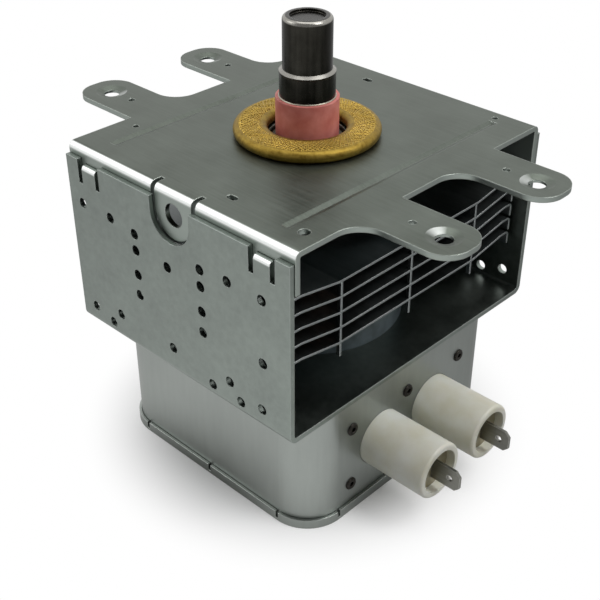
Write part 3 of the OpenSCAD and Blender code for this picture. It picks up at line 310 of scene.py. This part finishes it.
def select_where(test):
    """Selects the vertices of the open piece whose place passes a test."""
    bpy.ops.mesh.select_all(action="DESELECT")
    bpy.ops.object.mode_set(mode="OBJECT")
    for vertex in bpy.context.object.data.vertices:
        vertex.select = test(vertex.co)
    bpy.ops.object.mode_set(mode="EDIT")


def settle(name):
    """Names the active piece and moves its place into its mesh."""
    clear_selection()
    piece = bpy.context.view_layer.objects.active
    piece.select_set(True)
    bpy.ops.object.transform_apply(location=True, rotation=True, scale=True)
    piece.name = name
    piece.data.name = name
    piece.select_set(False)
    return piece


ring_low, ring_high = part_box("rf_gasket")
ring_out = ring_high.x
ring_in = min(math.hypot(v.co.x, v.co.y) for v in nodes["rf_gasket"].data.vertices)
section_r = (ring_high.z - ring_low.z) / 2
section_x = (ring_out + ring_in) / 2
section_half = (ring_out - ring_in) / 2 - section_r
wire_r = 0.2 * MM
loops = 90
lean = math.radians(40)


def wire_family(name, angle):
    """Wire loops round the ring, all leaning by one angle."""
    clear_selection()
    bpy.ops.mesh.primitive_torus_add(major_segments=28, minor_segments=6, major_radius=section_r,
                                     minor_radius=wire_r, rotation=(math.pi / 2, 0, 0))
    piece = settle(name)
    piece.select_set(True)
    bpy.ops.object.mode_set(mode="EDIT")
    for side in (-1, 1):
        select_where(lambda co, side=side: co.x * side > wire_r)
        bpy.ops.transform.translate(value=(side * section_half, 0, 0))
    bpy.ops.mesh.select_all(action="SELECT")
    bpy.ops.transform.rotate(value=angle, orient_axis="Z", center_override=(0, 0, 0))
    bpy.ops.transform.translate(value=(section_x, 0, section_r))
    bpy.ops.mesh.spin(steps=loops, dupli=True, angle=2 * math.pi, center=(0, 0, 0), axis=(0, 0, 1))
    bpy.ops.mesh.select_all(action="SELECT")
    bpy.ops.mesh.remove_doubles(threshold=0.001 * MM)
    bpy.ops.transform.vertex_random(offset=0.1 * MM, uniform=0.3, seed=loops)
    bpy.ops.mesh.normals_make_consistent(inside=False)
    bpy.ops.object.mode_set(mode="OBJECT")
    bpy.ops.object.shade_smooth()
    piece.data.materials.append(brass_wire)
    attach(piece, "root")
    return piece


for label, angle in (("gasket_wires_left", lean), ("gasket_wires_right", -lean)):
    wires = wire_family(label, angle)
    print(label, len(wires.data.polygons), "faces")

# %% [markdown]
# ## The braze fillet
#
# The ceramic is brazed to the cup with a silver alloy that creeps out as a thin uneven bead. A torus gives
# the bead, a slight random push makes it uneven, and a bevelled look comes from smooth shading.

# %% Braze bead between ceramic and cup
braze = metal("silver_braze_alloy", "#b9b4a4", "#8f8a7c", "#d8d4c8", (0.25, 0.45), smudge_mm=2)
cup_low, cup_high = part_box("antenna_cup")
bead_r = 0.3 * MM
clear_selection()
bpy.ops.mesh.primitive_torus_add(major_segments=96, minor_segments=10, major_radius=cup_high.x,
                                 minor_radius=bead_r, location=(0, 0, cup_low.z + 0.1 * MM))
bead = settle("braze_bead")
bead.select_set(True)
bpy.ops.object.mode_set(mode="EDIT")
bpy.ops.mesh.select_all(action="SELECT")
bpy.ops.transform.vertex_random(offset=0.06 * MM, uniform=0.2, seed=3)
bpy.ops.mesh.vertices_smooth(factor=0.5, repeat=2)
bpy.ops.object.mode_set(mode="OBJECT")
bpy.ops.object.shade_smooth()
bead.data.materials.append(braze)
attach(bead, "root")
print("bead radius in mm:", round(bead_r / MM, 2))

# %% [markdown]
# ## Studio
#
# The floor is a wide pale disc. Right round the object it is an ordinary matt surface, so it takes the
# shadow; farther out it turns to plain white for the rays that look at it directly. The light that it
# throws back up is greyer, so that the undersides keep some shade. Rays that come from
# shiny metal see it white in front and greyer to the right and behind, as in a room with one bright side.
# The world is white to look at too, softer as a light, and dim on the side where the photographer stands:
# that dim side is what puts the dark stripe down the middle of the antenna.

# %% Rays that look at the backdrop
def looking(tree):
    """One for rays from the camera, from mirrors or through glass, else zero; and the camera's own share."""
    path = add(tree, "LightPath")
    camera_ray = path.outputs["Is Camera Ray"]
    seen = add(tree, "Math", {"operation": "MAXIMUM"}, {0: camera_ray, 1: path.outputs["Is Glossy Ray"]})
    seen = add(tree, "Math", {"operation": "MAXIMUM"},
               {0: seen.outputs[0], 1: path.outputs["Is Transmission Ray"]})
    return seen.outputs[0], camera_ray


# %% Floor
BRIGHT_SIDE = (0.3, -0.95, 0)
FLOOR_RADIUS = 3.0
SHADE_FROM = 34 * MM
SHADE_TO = 68 * MM
floor_z = cad_box[0][2]
clear_selection()
bpy.ops.mesh.primitive_circle_add(vertices=96, radius=FLOOR_RADIUS, fill_type="NGON",
                                  location=(0, 0, floor_z - 0.1 * MM))
floor = settle("studio_floor")
floor_paint, tree = start("matt_white_floor")
place = add(tree, "TexCoord").outputs["Object"]
along = add(tree, "VectorMath", {"operation": "MULTIPLY"}, {0: place, 1: (1, 1, 0)}).outputs[0]
reach = add(tree, "VectorMath", {"operation": "LENGTH"}, {0: along}).outputs["Value"]
far = add(tree, "MapRange", {"interpolation_type": "SMOOTHSTEP"},
          {"Value": reach, "From Min": SHADE_FROM, "From Max": SHADE_TO}).outputs[0]
seen, camera_ray = looking(tree)
blend = add(tree, "Math", {"operation": "MULTIPLY"}, {0: far, 1: seen}).outputs[0]
heading = add(tree, "VectorMath", {"operation": "NORMALIZE"}, {0: along}).outputs[0]
side = add(tree, "VectorMath", {"operation": "DOT_PRODUCT"}, {0: heading, 1: BRIGHT_SIDE}).outputs["Value"]
glow = add(tree, "MapRange", sockets={"Value": side, "From Min": -0.6, "From Max": 0.9, "To Min": 0.42,
                                      "To Max": 1.0}).outputs[0]
glow = add(tree, "Math", {"operation": "MAXIMUM"}, {0: glow, 1: camera_ray}).outputs[0]
tint = add(tree, "Mix", {"data_type": "RGBA"}, {0: camera_ray, 6: linear("#a4a4a0"), 7: linear("#fafafa")})
matt = add(tree, "BsdfDiffuse", sockets={"Color": tint.outputs[2]}).outputs[0]
white = add(tree, "Emission", sockets={"Color": (1, 1, 1, 1), "Strength": glow}).outputs[0]
surface = add(tree, "MixShader", sockets={0: blend, 1: matt, 2: white})
add(tree, "OutputMaterial", sockets={0: surface.outputs[0]})
floor.data.materials.append(floor_paint)
print("floor at", round(floor_z / MM, 1), "mm")

# %% World
SKY_LIGHT = 0.42
DIM_SIDE = (0.6, -0.62, 0.5)
world = bpy.data.worlds.new("studio")
world.use_nodes = True
bpy.context.scene.world = world
tree = world.node_tree
tree.nodes.clear()
seen, camera_ray = looking(tree)
level = add(tree, "MapRange", sockets={"Value": seen, "To Min": SKY_LIGHT, "To Max": 1.0}).outputs[0]
heading = add(tree, "TexCoord").outputs["Generated"]
side = add(tree, "VectorMath", {"operation": "DOT_PRODUCT"}, {0: heading, 1: DIM_SIDE}).outputs["Value"]
dim = add(tree, "MapRange", {"interpolation_type": "SMOOTHSTEP"},
          {"Value": side, "From Min": 0.2, "From Max": 0.8, "To Min": 1.0, "To Max": 0.35}).outputs[0]
dim = add(tree, "Math", {"operation": "MAXIMUM"}, {0: dim, 1: camera_ray}).outputs[0]
level = add(tree, "Math", {"operation": "MULTIPLY"}, {0: level, 1: dim}).outputs[0]
sky = add(tree, "Background", sockets={"Color": (1, 1, 1, 1), "Strength": level})
add(tree, "OutputWorld", sockets={0: sky.outputs[0]})
print("sky light", SKY_LIGHT)

# %% [markdown]
# ## Lamps and camera
#
# One large lamp hangs overhead, so that tops are bright and the near faces stay in soft shade. A
# smaller one at the left front adds to the white line along the plate's fold, which is mostly a painted
# highlight, and one at the right rear lights the far side of the ceramic and the cups. The camera stands
# where the picture was taken from: it was found by matching corners and holes of the real size.

# %% Lamps
for name, spot, size, watts in (("top_lamp", (-0.05, 0.1, 0.7), 0.6, 2.0),
                                ("left_lamp", (-0.5, -0.42, 0.5), 0.4, 0.9),
                                ("right_lamp", (0.38, 0.14, 0.55), 0.25, 1.8)):
    clear_selection()
    bpy.ops.object.light_add(type="AREA", location=spot)
    lamp = bpy.context.object
    lamp.name = name
    lamp.data.size = size
    lamp.data.energy = watts
    lamp.rotation_euler = lamp.location.to_track_quat("Z", "Y").to_euler()
    print(name, watts, "W")

# %% Camera
AZIMUTH = 43.97
ELEVATION = 33.38
SENSOR_MM = 36
STAND_MM = (177.8, -187.0, 118.2)
FOCAL_SHARE = 1085.3 / 600
clear_selection()
bpy.ops.object.camera_add(location=[c * MM for c in STAND_MM],
                          rotation=(math.radians(90 - ELEVATION), 0, math.radians(AZIMUTH)))
camera = bpy.context.object
camera.data.sensor_width = SENSOR_MM
camera.data.lens = SENSOR_MM * FOCAL_SHARE
camera.data.clip_start = 0.01
bpy.context.scene.camera = camera
bpy.context.scene.view_settings.view_transform = "Standard"
print("lens", round(camera.data.lens, 1), "mm")
